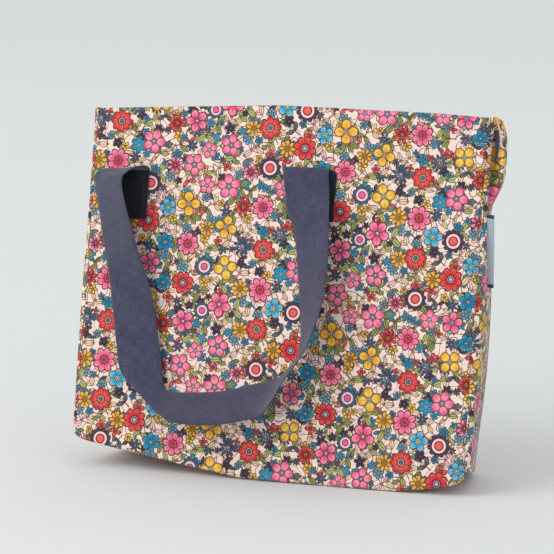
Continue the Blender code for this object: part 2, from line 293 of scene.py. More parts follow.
def cloth(name, grid, outside, materials, thickness=CLOTH):
    """A sheet of cloth from rows of (point, place on the flat cloth in metres).

    outside is 1 where along x down points out of the bag and -1 where it points in. The outer face
    has the first material and the inner one the second.
    """
    bm = bmesh.new()
    layer = bm.loops.layers.uv.new("cloth")
    normals = grid_normals([[point for point, _ in line] for line in grid])
    faces_of = []
    for push in (outside * thickness / 2, -outside * thickness / 2):
        faces_of.append([
            [(bm.verts.new(point + normal * push), place) for (point, place), normal in zip(*lines)]
            for lines in zip(grid, normals)
        ])
    rows, columns = len(grid), len(grid[0])
    for slot, face in enumerate(faces_of):
        for i in range(rows - 1):
            for j in range(columns - 1):
                ring = ((i, j), (i + 1, j), (i + 1, j + 1), (i, j + 1))
                uv_face(bm, layer, [face[a][b] for a, b in ring], slot)
    outer, inner = faces_of
    edges = [((i, j), (i, j + 1)) for i in (0, rows - 1) for j in range(columns - 1)]
    edges += [((i, j), (i + 1, j)) for j in (0, columns - 1) for i in range(rows - 1)]
    for (a, b), (c, d) in edges:
        uv_face(bm, layer, [outer[a][b], outer[c][d], inner[c][d], inner[a][b]])
    return new_object(name, bm, materials)


def ribbon(name, edges, thickness, materials, widths=8):
    """A flat strap between two edge curves, with soft rounded edges. Its uv is (across, along)."""
    bm = bmesh.new()
    layer = bm.loops.layers.uv.new("cloth")
    shares = [-math.cos(math.pi * k / widths) for k in range(widths + 1)]
    rings, run = [], 0.0
    middles = [(a + b) / 2 for a, b in edges]
    for i, (a, b) in enumerate(edges):
        tangent = middles[min(len(edges) - 1, i + 1)] - middles[max(0, i - 1)]
        normal = tangent.cross(b - a).normalized()
        run += (middles[i] - middles[i - 1]).length if i else 0.0
        ring = []
        for face_side in (1, -1):
            for share in (shares if face_side > 0 else shares[-2:0:-1]):
                half = thickness / 2 * (1 - abs(share) ** 6) ** 0.5
                spot = (a + b) / 2 + (b - a) / 2 * share + normal * half * face_side
                ring.append((bm.verts.new(spot), ((b - a).length / 2 * share, run)))
        rings.append(ring)
    for near, far in zip(rings, rings[1:]):
        for k in range(len(near)):
            slot = 0 if 0 < k <= widths else len(materials) - 1
            uv_face(bm, layer, (near[k - 1], near[k], far[k], far[k - 1]), slot)
    uv_face(bm, layer, rings[0])
    uv_face(bm, layer, rings[-1])
    return new_object(name, bm, materials)


def curve_through(points, steps):
    """A Catmull-Rom curve through the points, steps samples to a span."""
    ends = [points[0] * 2 - points[1]] + list(points) + [points[-1] * 2 - points[-2]]
    samples = []
    for i in range(1, len(ends) - 2):
        a, b, c, d = ends[i - 1 : i + 3]
        for k in range(steps):
            t = k / steps
            bend = (2 * a - 5 * b + 4 * c - d) * t**2 + (3 * b - a - 3 * c + d) * t**3
            samples.append(0.5 * (2 * b + (c - a) * t + bend))
    return samples + [points[-1]]


def angles(count):
    return [2 * math.pi * k / count for k in range(count)]


def close_tube(bm, rings):
    """Faces from ring to ring and over both ends."""
    for near, far in zip(rings, rings[1:]):
        for k in range(len(near)):
            bm.faces.new((near[k - 1], near[k], far[k], far[k - 1]))
    bm.faces.new(rings[0])
    bm.faces.new(rings[-1])


# A stitch's rings: how far along its length each is, and how thick it is there
STITCH_RINGS = ((-0.5, 0.25), (-0.38, 0.85), (0.0, 1.0), (0.38, 0.85), (0.5, 0.25))


def stitches(name, runs, material, length=0.0026, spacing=0.0034, radius=0.00032):
    """Thread dashes along runs of (start, end, outward)."""
    bm = bmesh.new()
    for start, end, outward in runs:
        along = (end - start).normalized()
        across = along.cross(outward).normalized()
        count = max(1, int((end - start).length / spacing))
        for k in range(count):
            middle = start.lerp(end, (k + 0.5) / count)
            rings = []
            for place, swell in STITCH_RINGS:
                bow = outward * radius * (0.6 - 2.4 * place * place)
                centre = middle + along * length * place + bow
                ways = [across * math.cos(t) + outward * math.sin(t) for t in angles(6)]
                rings.append([bm.verts.new(centre + way * radius * swell) for way in ways])
            close_tube(bm, rings)
    return new_object(name, bm, [material])


def turned(name, profile, place, axis, material, count=28):
    """A small turned piece: profile is (radius, height along the axis) from foot to top."""
    bm = bmesh.new()
    close_tube(bm, [
        [bm.verts.new((radius * math.cos(t), radius * math.sin(t), height)) for t in angles(count)]
        for radius, height in profile
    ])
    turn = Vector((0, 0, 1)).rotation_difference(axis).to_matrix().to_4x4()
    bmesh.ops.transform(bm, matrix=Matrix.Translation(place) @ turn, verts=bm.verts)
    return new_object(name, bm, [material])


# ---- shader building

def srgb(red, green, blue):
    """A colour from 0 to 255 as shown on a screen, in the linear values that shaders use."""
    shown = [value / 255 for value in (red, green, blue)]
    light = [v / 12.92 if v <= 0.04045 else ((v + 0.055) / 1.055) ** 2.4 for v in shown]
    return (*light, 1.0)


class Net:
    """Short ways to add shader nodes: each call adds one and returns what comes out of it."""

    def __init__(self, tree):
        self.tree = tree

    def feed(self, node, inputs):
        """Give a node's inputs their values, or link them to sockets."""
        for key, value in inputs.items():
            if isinstance(value, bpy.types.NodeSocket):
                self.tree.links.new(value, node.inputs[key])
            else:
                node.inputs[key].default_value = value

    def add(self, kind, inputs, output=0, **settings):
        node = self.tree.nodes.new("ShaderNode" + kind)
        for name, value in settings.items():
            setattr(node, name, value)
        self.feed(node, inputs)
        return node.outputs[output]

    def math(self, operation, *values):
        return self.add("Math", dict(enumerate(values)), operation=operation)

    def times(self, first, second):
        return self.math("MULTIPLY", first, second)

    def minus(self, first, second):
        return self.math("SUBTRACT", first, second)

    def over(self, first, second):
        return self.math("DIVIDE", first, second)

    def below(self, value, limit):
        return self.math("LESS_THAN", value, limit)

    def size_of(self, value):
        return self.math("ABSOLUTE", value)

    def vector(self, operation, *values):
        output = 1 if operation == "LENGTH" else 0
        return self.add("VectorMath", dict(enumerate(values)), output, operation=operation)

    def scale(self, vector, by):
        return self.add("VectorMath", {0: vector, "Scale": by}, operation="SCALE")

    def axes(self, vector):
        node = self.tree.nodes.new("ShaderNodeSeparateXYZ")
        self.feed(node, {0: vector})
        return tuple(node.outputs)

    def join(self, x, y, z=0.0):
        return self.add("CombineXYZ", {0: x, 1: y, 2: z})

    def mix(self, share, first, second, **settings):
        inputs = {0: share, 6: first, 7: second}
        return self.add("Mix", inputs, 2, data_type="RGBA", **settings)

    def multiply(self, share, first, second):
        return self.mix(share, first, second, blend_type="MULTIPLY")

    def noise(self, vector, scale, detail):
        return self.add("TexNoise", {"Vector": vector, "Scale": scale, "Detail": detail})

    def choose(self, share, colours):
        """One of the colours, each as likely as the others."""
        node = self.tree.nodes.new("ShaderNodeValToRGB")
        self.feed(node, {0: share})
        node.color_ramp.interpolation = "CONSTANT"
        stops = [(k / len(colours), colour) for k, colour in enumerate(colours)]
        elements = node.color_ramp.elements
        elements[0].position, elements[0].color = stops[0]
        elements[1].position, elements[1].color = stops[-1]
        for place, colour in stops[1:-1]:
            elements.new(place).color = colour
        return node.outputs[0]

    def soft_step(self, value, low, high):
        inputs = {0: value, 1: low, 2: high, 3: 0.0, 4: 1.0}
        return self.add("MapRange", inputs, interpolation_type="SMOOTHSTEP", clamp=True)


# ---- the floral print

# Places on the cloth are in millimetres here.
REPEAT = (160.0, 200.0)
RED = srgb(206, 34, 46)
CORAL = srgb(236, 92, 86)
ROSE = srgb(228, 90, 134)
PINK = srgb(246, 148, 172)
BLUSH = srgb(246, 196, 200)
AMBER = srgb(226, 164, 52)
LEMON = srgb(246, 200, 84)
TEAL = srgb(18, 120, 158)
AQUA = srgb(14, 160, 198)
SKY = srgb(150, 186, 210)
NAVY = srgb(32, 32, 72)
SLATE = srgb(64, 84, 104)
OLIVE = srgb(126, 138, 76)
LEAF = srgb(168, 178, 106)
CREAM = srgb(240, 206, 172)
LILAC = srgb(164, 158, 200)
PLUM = srgb(138, 44, 84)
STEM = srgb(118, 78, 58)
GROUND = (srgb(240, 211, 204), srgb(240, 215, 202))

# reach is how far out a petal's middle is, and length and width are half the petal's; they and the
# ring's and the core's radius are shares of the flower's radius. Then come four colours.
Flower = namedtuple("Flower", "petals reach length width ring core petal tip disc eye")
LARGE = [Flower(*kind) for kind in (
    (8, 0.62, 0.38, 0.30, 0.26, 0.18, RED, CORAL, BLUSH, SKY),
    (5, 0.58, 0.42, 0.38, 0.20, 0.13, ROSE, PINK, LILAC, BLUSH),
    (4, 0.57, 0.43, 0.42, 0.20, 0.10, AMBER, LEMON, SKY, LEMON),
    (11, 0.70, 0.19, 0.20, 0.54, 0.32, NAVY, SLATE, BLUSH, CORAL),
    (8, 0.62, 0.38, 0.30, 0.24, 0.14, ROSE, PINK, CORAL, RED),
    (8, 0.62, 0.38, 0.30, 0.26, 0.17, CORAL, RED, CREAM, TEAL),
    (5, 0.58, 0.42, 0.38, 0.20, 0.13, PINK, ROSE, LILAC, SKY),
    (4, 0.57, 0.43, 0.42, 0.20, 0.10, LEMON, AMBER, SKY, CREAM),
    (5, 0.58, 0.42, 0.38, 0.22, 0.13, ROSE, PINK, LILAC, SKY),
)]
MIDDLING = [Flower(*kind) for kind in (
    (8, 0.58, 0.42, 0.20, 0.15, 0.08, RED, CORAL, LEMON, AMBER),
    (8, 0.58, 0.42, 0.20, 0.17, 0.09, ROSE, BLUSH, PLUM, BLUSH),
    (8, 0.56, 0.42, 0.22, 0.20, 0.12, AMBER, LEMON, AMBER, OLIVE),
    (5, 0.58, 0.42, 0.38, 0.22, 0.12, AQUA, SKY, LEMON, CREAM),
    (10, 0.66, 0.34, 0.17, 0.20, 0.12, TEAL, SLATE, SKY, BLUSH),
    (6, 0.58, 0.42, 0.32, 0.22, 0.12, TEAL, AQUA, AQUA, LEMON),
    (6, 0.58, 0.42, 0.32, 0.22, 0.12, AQUA, TEAL, SKY, LEMON),
    (5, 0.58, 0.42, 0.38, 0.22, 0.12, PINK, ROSE, LILAC, BLUSH),
    (10, 0.72, 0.24, 0.24, 0.56, 0.32, TEAL, SLATE, BLUSH, ROSE),
)]
SMALL = [Flower(*kind) for kind in (
    (5, 0.56, 0.44, 0.34, 0.20, 0.12, NAVY, SLATE, CREAM, BLUSH),
    (4, 0.58, 0.42, 0.38, 0.18, 0.10, CORAL, RED, CREAM, AMBER),
    (5, 0.56, 0.44, 0.38, 0.26, 0.14, AQUA, TEAL, SKY, BLUSH),
    (6, 0.58, 0.42, 0.32, 0.24, 0.12, AQUA, SKY, LEMON, CREAM),
    (5, 0.56, 0.44, 0.38, 0.24, 0.12, TEAL, AQUA, AQUA, SKY),
    (4, 0.58, 0.42, 0.40, 0.20, 0.12, AQUA, TEAL, SKY, BLUSH),
    (5, 0.56, 0.44, 0.36, 0.22, 0.12, LEMON, AMBER, OLIVE, LEMON),
    (7, 0.60, 0.40, 0.22, 0.22, 0.12, TEAL, SLATE, SKY, BLUSH),
)]
GREENS = (OLIVE, CREAM, LEAF, OLIVE, CREAM, SLATE, LEAF, CREAM, OLIVE)
BRIGHTS = (CREAM, OLIVE, CORAL, NAVY, LEAF, CREAM, TEAL, OLIVE)
CREAMS = (CREAM, BLUSH, OLIVE, CREAM, LEAF)
# A motif's spin is a share of SPIN, in radians, and its petals are kept as a share of MOST_PETALS
SPIN = 6.283
MOST_PETALS = 16
PETAL_STEP = 6.28319 / MOST_PETALS


def wait_for(net, place, under):
    """The same place, worked out after the colour below: the renderer holds one layer at a time."""
    return net.vector("MULTIPLY_ADD", under, (1e-7,) * 3, place)


def scatter(net, place, pitch, start, seed, wander):
    """Half-drop cells that repeat over the cloth: a point's place from its motif, and dice."""
    x, y, _ = net.axes(net.vector("MULTIPLY_ADD", place, (1 / pitch,) * 3, start + (0.0,)))
    column = net.math("FLOOR", x)
    y = net.math("MULTIPLY_ADD", column, 0.5, y)
    row = net.math("FLOOR", y)
    key = net.join(
        net.math("FLOORED_MODULO", column, round(REPEAT[0] / pitch)),
        net.math("FLOORED_MODULO", row, round(REPEAT[1] / pitch)),
        float(seed),
    )
    first = net.add("TexWhiteNoise", {"Vector": key}, 1)
    second = net.add("TexWhiteNoise", {"Vector": net.vector("ADD", key, (31.0, 17.0, 5.0))}, 1)
    within = net.join(net.minus(x, column), net.minus(y, row))
    centre = (wander / 2 - 0.5,) * 2 + (0.0,)
    moved = net.vector("MULTIPLY_ADD", first, (-wander, -wander, 0.0), centre)
    spot = net.scale(net.vector("ADD", within, moved), pitch)
    return spot, net.axes(first)[2], net.axes(second)


def outline_of(colour):
    """The brown line that is printed round a shape of this colour."""
    brown = (0.056, 0.021, 0.022)
    return tuple(0.16 * value + extra for value, extra in zip(colour[:3], brown)) + (1.0,)


def flowers(net, under, place, kinds, pitch, start, seed, wander, size, line):
    """A layer of flowers drawn over a colour."""
    place = wait_for(net, place, under)
    spot, spin, (pick, grow, _) = scatter(net, place, pitch, start, seed, wander)

    def chosen(of_kind):
        return net.choose(pick, [of_kind(kind) for kind in kinds])

    reach, length, width = net.axes(chosen(lambda k: (k.reach, k.length, k.width, 1.0)))
    ring, core, petals = net.axes(chosen(lambda k: (k.ring, k.core, k.petals / MOST_PETALS, 1.0)))
    x, y, _ = net.axes(spot)
    radius = net.math("MULTIPLY_ADD", grow, size[1] - size[0], size[0])
    far = net.over(net.vector("LENGTH", spot), radius)
    angle = net.math("MULTIPLY_ADD", spin, SPIN, net.math("ARCTAN2", y, x))
    step = net.over(PETAL_STEP, petals)
    folded = net.minus(net.math("FLOORED_MODULO", angle, step), net.times(step, 0.5))
    along = net.minus(net.times(far, net.math("COSINE", folded)), reach)
    aside = net.times(far, net.math("SINE", folded))
    petal = net.vector("LENGTH", net.join(net.over(along, length), net.over(aside, width)))
    thin = net.over(line, radius)
    disc = net.over(far, net.math("ADD", ring, net.times(thin, 1.2)))
    inked = net.below(net.math("MINIMUM", petal, disc), 1.0)
    edge = net.minus(1.0, net.over(thin, width))
    filled = net.below(petal, edge)
    dark = chosen(lambda k: outline_of(k.petal))
    tipped = net.soft_step(far, 0.35, 0.95)
    lobe = net.mix(tipped, chosen(lambda k: k.petal), chosen(lambda k: k.tip))
    vein = net.below(net.size_of(aside), 0.022)
    lobe = net.multiply(net.times(vein, 0.45), lobe, dark)
    colour = net.mix(inked, under, dark)
    colour = net.mix(filled, colour, lobe)
    in_ring = net.below(far, ring)
    colour = net.mix(in_ring, colour, chosen(lambda k: k.disc))
    rim = net.math("COMPARE", far, core, net.times(thin, 0.6))
    colour = net.mix(rim, colour, dark)
    in_core = net.below(far, net.minus(core, net.times(thin, 0.5)))
    return net.mix(in_core, colour, chosen(lambda k: k.eye))


def leaves(net, under, place, colours, pitch, start, seed, wander, size, line):
    """A layer of sprigs: two leaves that lean from a short stem."""
    place = wait_for(net, place, under)
    spot, spin, (pick, grow, _) = scatter(net, place, pitch, start, seed, wander)
    turn = net.times(spin, SPIN)
    spun = net.add("VectorRotate", {"Vector": spot, "Angle": turn}, rotation_type="Z_AXIS")
    x, y, _ = net.axes(spun)
    aside = net.size_of(x)
    length = net.math("MULTIPLY_ADD", grow, size[1] - size[0], size[0])
    along = net.minus(net.math("MULTIPLY_ADD", aside, 0.80, net.times(y, 0.60)), length)
    beside = net.minus(net.times(y, 0.80), net.times(aside, 0.60))
    share = net.over(along, length)
    bow = net.minus(1.0, net.times(share, share))
    half = net.times(net.times(length, 0.50), bow)
    off = net.minus(half, net.size_of(beside))
    dark = net.choose(pick, [outline_of(colour) for colour in colours])
    on_stem = net.below(aside, line * 0.6)
    short = net.math("COMPARE", y, -1.5, net.times(length, 0.9))
    colour = net.mix(net.times(on_stem, short), under, dark)
    colour = net.mix(net.math("GREATER_THAN", off, 0.0), colour, dark)
    lit = net.times(net.soft_step(share, -0.6, 0.9), 0.35)
    body = net.mix(lit, net.choose(pick, colours), LEAF)
    inside = net.math("GREATER_THAN", off, line)
    colour = net.mix(inside, colour, body)
    midrib = net.below(net.size_of(beside), line * 0.4)
    return net.mix(net.times(midrib, inside), colour, dark)


# The print's layers from the lowest up: how each is drawn, its motifs, its cells' pitch and start,
# its seed, how far motifs wander in their cells, their least and greatest size, the line's width
LAYERS = (
    (leaves, CREAMS, 20.0, (0.50, 0.90), 13, 0.40, (4.8, 6.2), 0.85),
    (leaves, BRIGHTS, 20.0, (0.25, 0.10), 3, 0.35, (3.8, 5.2), 0.9),
    (leaves, GREENS, 20.0, (0.75, 0.65), 8, 0.35, (5.0, 6.6), 0.85),
    (flowers, SMALL, 20.0, (0.5, 0.35), 21, 0.40, (5.0, 6.6), 0.9),
    (flowers, SMALL, 20.0, (0.0, 0.85), 34, 0.40, (3.8, 5.2), 0.8),
    (leaves, GREENS, 40.0, (0.20, 0.30), 44, 0.45, (5.2, 6.8), 0.85),
    (flowers, MIDDLING, 40.0, (0.5, 0.60), 55, 0.22, (8.8, 10.6), 0.85),
    (flowers, MIDDLING, 40.0, (0.98, 0.62), 63, 0.16, (8.0, 9.8), 0.85),
    (flowers, LARGE, 40.0, (0.0, 0.05), 89, 0.14, (11.4, 13.4), 1.1),
)


def floral_group():
    """The print, as a group: a place on the cloth in metres in, its colour out."""
    tree = bpy.data.node_groups.new("floral_print", "ShaderNodeTree")
    tree.interface.new_socket("Place", in_out="INPUT", socket_type="NodeSocketVector")
    tree.interface.new_socket("Color", in_out="OUTPUT", socket_type="NodeSocketColor")
    entry, leave = tree.nodes.new("NodeGroupInput"), tree.nodes.new("NodeGroupOutput")
    net = Net(tree)
    place = net.scale(entry.outputs[0], 1000.0)
    patch = net.noise(place, 0.03, 1.0)
    colour = net.mix(net.soft_step(patch, 0.40, 0.60), *GROUND)
    trail = net.noise(place, 0.040, 0.0)
    trail = net.math("COMPARE", net.math("PINGPONG", trail, 0.13), 0.065, 0.0065)
    colour = net.mix(trail, colour, STEM)
    for draw, *layer in LAYERS:
        colour = draw(net, colour, place, *layer)
    net.feed(leave, {0: colour})
    return tree


# ---- materials

def start_material(name, roughness):
    """A new material: itself, its net, its shader and the place on the flat cloth."""
    made = bpy.data.materials.new(name)
    made.use_nodes = True
    net = Net(made.node_tree)
    shader = made.node_tree.nodes["Principled BSDF"]
    shader.inputs["Roughness"].default_value = roughness
    place = net.add("UVMap", {}, uv_map="cloth")
    return made, net, shader, place


def object_place(net):
    return net.add("TexCoord", {}, 3)


def plain_weave(net, place, pitch):
    """The height of a plain weave whose threads are pitch apart."""
    x, y, _ = net.axes(net.scale(place, math.pi / pitch))
    return net.times(net.math("SINE", x), net.math("SINE", y))


def crossed_threads(net, place, along, across, detail):
    """Noise drawn out into threads one way, plus the same the other way."""
    warp, weft = (
        net.noise(net.vector("MULTIPLY", place, scale + (1.0,)), 1.0, detail)
        for scale in ((along, across), (across, along))
    )
    return net.math("ADD", warp, weft)


def bump(net, shader, height, strength, distance):
    inputs = {"Height": height, "Strength": strength, "Distance": distance}
    net.feed(shader, {"Normal": net.add("Bump", inputs)})


def printed_cotton(print_group, name, share, veil):
    """Printed cotton. share of the print shows over the veil colour: all in front, less behind."""
    made, net, shader, place = start_material(name, 0.82)
    node = made.node_tree.nodes.new("ShaderNodeGroup")
    node.node_tree = print_group
    net.feed(node, {0: place})
    colour = net.mix(share, veil, node.outputs[0])
    thread = crossed_threads(net, place, 260.0, 1500.0, 2.0)
    colour = net.multiply(net.soft_step(thread, 0.85, 1.35), colour, srgb(226, 218, 214))
    net.feed(shader, {"Base Color": colour, "Sheen Weight": 0.15, "Specular IOR Level": 0.25})
    weave = net.times(plain_weave(net, place, 0.0007), 0.25)
    bump(net, shader, net.math("MULTIPLY_ADD", thread, 0.6, weave), 0.35, 0.0004)
    return made


def canvas(name, base, light, line_at):
    """Slate chambray: two tones of thread that cross, with a sewn line near both edges."""
    made, net, shader, place = start_material(name, 0.86)
    tone = crossed_threads(net, place, 1400.0, 90.0, 3.0)
    cloudy = net.noise(place, 40.0, 2.0)
    colour = net.mix(net.soft_step(tone, 0.72, 1.28), base, light)
    colour = net.multiply(net.soft_step(cloudy, 0.35, 0.75), colour, srgb(232, 230, 238))
    x, y, _ = net.axes(place)
    near_line = net.math("COMPARE", net.size_of(x), line_at, 0.00035)
    stitch_wave = net.math("SINE", net.times(y, 2 * math.pi / 0.0030))
    sewn = net.times(near_line, net.math("GREATER_THAN", stitch_wave, -0.45))
    colour = net.mix(net.times(sewn, 0.55), colour, srgb(44, 44, 62))
    net.feed(shader, {"Base Color": colour, "Sheen Weight": 0.25, "Sheen Roughness": 0.5,
                      "Specular IOR Level": 0.25})
    weave = net.math("MULTIPLY_ADD", tone, 0.9, plain_weave(net, place, 0.0009))
    bump(net, shader, net.math("MULTIPLY_ADD", sewn, -0.8, weave), 0.45, 0.0004)
    return made


def thread_material(name, colour):
    made, net, shader, _ = start_material(name, 0.7)
    twist = net.noise(object_place(net), 1800.0, 2.0)
    shade = tuple(0.7 * value for value in colour[:3]) + (1.0,)
    net.feed(shader, {"Base Color": net.mix(twist, shade, colour)})
    bump(net, shader, twist, 0.4, 0.0002)
    return made


def woven_tab(name):
    """The tab's pale ground with a navy bar at both ends and fine ribs; it carries no lettering."""
    made, net, shader, place = start_material(name, 0.55)
    _, y, _ = net.axes(place)
    rib = net.math("SINE", net.times(y, 2 * math.pi / 0.0006))
    end = net.math("GREATER_THAN", net.size_of(y), 0.0325)
    shade = net.math("MULTIPLY_ADD", rib, 0.3, 0.5)
    ground = net.mix(shade, srgb(140, 152, 166), srgb(176, 186, 198))
    colour = net.mix(end, ground, srgb(20, 34, 62))
    net.feed(shader, {"Base Color": colour, "Sheen Weight": 0.2})
    bump(net, shader, rib, 0.3, 0.0002)
    return made


def stud_metal(name):
    made, net, shader, _ = start_material(name, 0.32)
    wear = net.noise(object_place(net), 900.0, 4.0)
    colour = net.mix(wear, srgb(150, 148, 144), srgb(206, 204, 200))
    roughness = net.math("MULTIPLY_ADD", wear, 0.25, 0.2)
    net.feed(shader, {"Base Color": colour, "Roughness": roughness, "Metallic": 1.0})
    return made


# ---- the cloth pieces

def turned_edge(row, depth):
    """How a row's point leaves the face: (how far inward, how far down, depth on the flat cloth).

    Rows below 0 turn in under the foot, and rows above ROWS go over the rim and down inside.
    """
    if row < 0:
        turn = math.pi / 2 * -row / FOOT_STEPS
        inward, lower = FOOT_ROUND * (1 - math.cos(turn)), FOOT_ROUND * math.sin(turn)
        return inward, lower, depth + FOOT_ROUND * turn
    step = row - ROWS
    if step <= 0:
        return 0.0, 0.0, depth
    if step <= FOLD_ROUND_STEPS:
        turn = math.pi * step / FOLD_ROUND_STEPS
        inward, lower = FOLD_RADIUS * (1 - math.cos(turn)), -FOLD_RADIUS * math.sin(turn)
        return inward, lower, depth - FOLD_RADIUS * turn
    down = (HEM_DEPTH - 0.001) * (step - FOLD_ROUND_STEPS) / (FOLD_STEPS - FOLD_ROUND_STEPS)
    return 2 * FOLD_RADIUS, down, depth - FOLD_RADIUS * math.pi - down


def climbed(row, top_x, foot_x, across):
    """The height of a row between the foot and the rim."""
    top, bottom = rim_z(top_x, across), foot_z(foot_x, across) + FOOT_ROUND + CLOTH
    return bottom + (top - bottom) * max(0.0, min(1.0, row / ROWS))


def grid_of(rows, columns, corner):
    return [[corner(i, j) for j in range(columns + 1)] for i in rows]


def panel_grid(side):
    """A panel from its foot's turn up the outside, over the rim and down inside to the hem."""
    across = ACROSS[side]
    shift = 0.0 if side < 0 else BACK_PRINT_SHIFT
    low_half, high_half = side_half(0.0, across) - EDGE_ROUND, WIDTH / 2 - EDGE_ROUND

    def corner(i, j):
        share = 2 * j / COLUMNS - 1
        z = climbed(i, share * high_half, share * low_half, across)
        x = (side_half(z, across) - EDGE_ROUND) * share
        depth = (RIM_HEIGHT - z) / math.cos(LEAN[side])
        inward, lower, run = turned_edge(i, depth)
        point = panel_point(side, x, depth + lower, panel_wave(side, x, z) - inward)
        return point, (-x - shift, -run)

    return grid_of(FOOT_TO_HEM, COLUMNS, corner)


def side_grid(hand):
    """The side cloth, from the front panel's plane round to the back panel's."""
    grid = []
    for i in FOOT_TO_HEM:
        line, run_across, last = [], 0.0, None
        for j in range(SIDE_COLUMNS + 1):
            share = j / SIDE_COLUMNS
            level = RIM_HEIGHT * max(0.0, min(1.0, i / ROWS))
            x = hand * side_outline(level, share, hand).x
            z = climbed(i, x, x, smooth((share - 0.1) / 0.8))
            inward, lower, run = turned_edge(i, (RIM_HEIGHT - z) / math.cos(LEAN[-1]))
            level = min(z, z - lower)
            near, far = max(0, share - 0.02), min(1, share + 0.02)
            way = smooth_side(level, far, hand) - smooth_side(level, near, hand)
            outward = Vector((way.y, -way.x)).normalized()
            spot = side_outline(level, share, hand) - outward * inward
            flat_spot = smooth_side(level, share, hand)
            if last is not None:
                run_across += (flat_spot - last).length
            last = flat_spot
            point = BAG + Vector((hand * spot.x, spot.y, z - lower))
            line.append((point, (hand * (WIDTH / 2 - EDGE_ROUND + run_across), -run)))
        grid.append(line)
    return grid


def base_grid(rows=24, columns=64):
    """The base, from the front foot to the back one."""
    def corner(i, j):
        across = i / rows
        x = (side_half(0.0, across) - FOOT_ROUND - 0.001) * (2 * j / columns - 1)
        z = foot_z(x * 1.01, across) + 0.0016
        low, high = panel_y(-1, z) + FOOT_ROUND * 0.9, panel_y(1, z) - FOOT_ROUND * 0.9
        y = low + (high - low) * across
        return BAG + Vector((x, y, z)), (x, -PANEL_DEPTH[-1] - (y - low))

    return grid_of(range(rows + 1), columns, corner)


def make_cloth(looks):
    """Front, back, both sides and the base."""
    pair = [looks["print"], looks["reverse"]]
    for side, name, body in SIDES:
        piece = cloth(f"{name}_cloth", panel_grid(side), -side, pair)
        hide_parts(f"{name}_panel", f"{name}_hem")
        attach(piece, body)
    for hand, name in HANDS[::-1]:
        piece = cloth(f"{name}_side_cloth", side_grid(hand), hand, pair)
        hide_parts(f"{name}_side_front", f"{name}_side_back")
        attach(piece, "root")
        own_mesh(piece)
    piece = cloth("base_cloth", base_grid(), -1, pair)
    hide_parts("base_panel")
    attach(piece, "root")
    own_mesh(piece)


# ---- handles

# The free strap from fold to fold: its outer and its inner edge, as (x, depth, out) in millimetres
FREE_STRAP = (
    ((-194, 73, 2.4), (-144, 71, 2.6)),
    ((-198.5, 75, 4), (-142.5, 69.5, 8)),
    ((-201, 79, 5.4), (-147.5, 68, 15)),
    ((-202, 83, 5.8), (-158, 74, 24)),
    ((-201, 88, 6), (-162, 86, 31)),
    ((-193, 121, 5.4), (-152.5, 121, 29)),
    ((-182, 166, 5.4), (-138, 166, 21)),
    ((-174.5, 199, 5.4), (-128, 199, 12)),
    ((-165.5, 248, 5.4), (-118.5, 246, 8)),
    ((-158, 275, 7), (-112.5, 275, 8)),
    ((-134, 295, 16), (-110.5, 286, 7)),
    ((-110, 311, 28), (-106, 290, 6)),
    ((-87, 320.5, 38), (-86, 290, 6)),
    ((-45, 320, 37), (-49, 286, 6)),
    ((-7, 311.5, 38), (-17, 277, 7)),
    ((6.5, 306, 42), (-1.5, 273, 8)),
    ((17.5, 292, 46), (9, 269, 8)),
    ((26.5, 276, 49), (18.5, 259, 8)),
    ((36, 262, 50), (26, 251, 7)),
    ((46, 246, 48), (28.5, 238, 6)),
    ((53.5, 224, 43.5), (28.5, 222, 5.4)),
    ((59.5, 194, 37), (25, 194.5, 5.4)),
    ((59.5, 157, 29), (19, 154, 5.4)),
    ((56.5, 121, 25), (14, 123, 5.4)),
    ((54, 106, 20), (6, 108, 5.4)),
    ((49.5, 87, 10.5), (1.5, 87, 5.4)),
    ((46, 66, 6.5), (-2, 66, 5.5)),
    ((47, 61, 4.2), (0, 61, 4.2)),
)


def sewn_edges(hand):
    """A sewn end's outer and inner edge, from its foot up."""
    middle, half = HANDLE_X + hand * HANDLE_SPACING / 2, hand * STRAP_END_WIDTH / 2
    drops = [FOLD_DEPTH[hand] + STRAP_END_LENGTH * share for share in (1.0, 0.75, 0.5, 0.2, 0.06)]
    return [[Vector((middle + x, STRAP_END_OUT, -drop)) for x in (half, -half)] for drop in drops]


def strap_edges():
    """Both edges of the whole strap: left sewn end, fold, hanging loop, fold, right sewn end."""
    free = [[Vector((x, out, -depth)) / 1000 for x, depth, out in pair] for pair in FREE_STRAP]
    pairs = sewn_edges(-1) + free + sewn_edges(1)[::-1]
    return list(zip(*(curve_through(edge, 6) for edge in zip(*pairs))))


def box_and_cross(side, middle, top, bottom, out):
    """Runs of stitching for a sewn strap end: a box and its two diagonals."""
    half = STRAP_END_WIDTH / 2 - 0.005
    low, high = middle - half, middle + half
    corners = [(low, top), (high, top), (high, bottom), (low, bottom)]
    spots = [panel_point(side, x, depth, out) for x, depth in corners]
    pairs = [(0, 1), (1, 2), (2, 3), (3, 0), (0, 2), (1, 3)]
    return [(spots[a], spots[b], panel_outward(side)) for a, b in pairs]


def strap_point(side, spot):
    """A strap point on the bag: sewn ends follow the panel's waves, the rest stays clear."""
    out = spot.y + panel_wave(side, spot.x, RIM_HEIGHT + spot.z * math.cos(LEAN[-1]))
    if spot.y > FREE_STRAP_OUT - 0.0006:
        out = max(out, FREE_STRAP_OUT)
    return panel_point(side, spot.x, -spot.z, out)


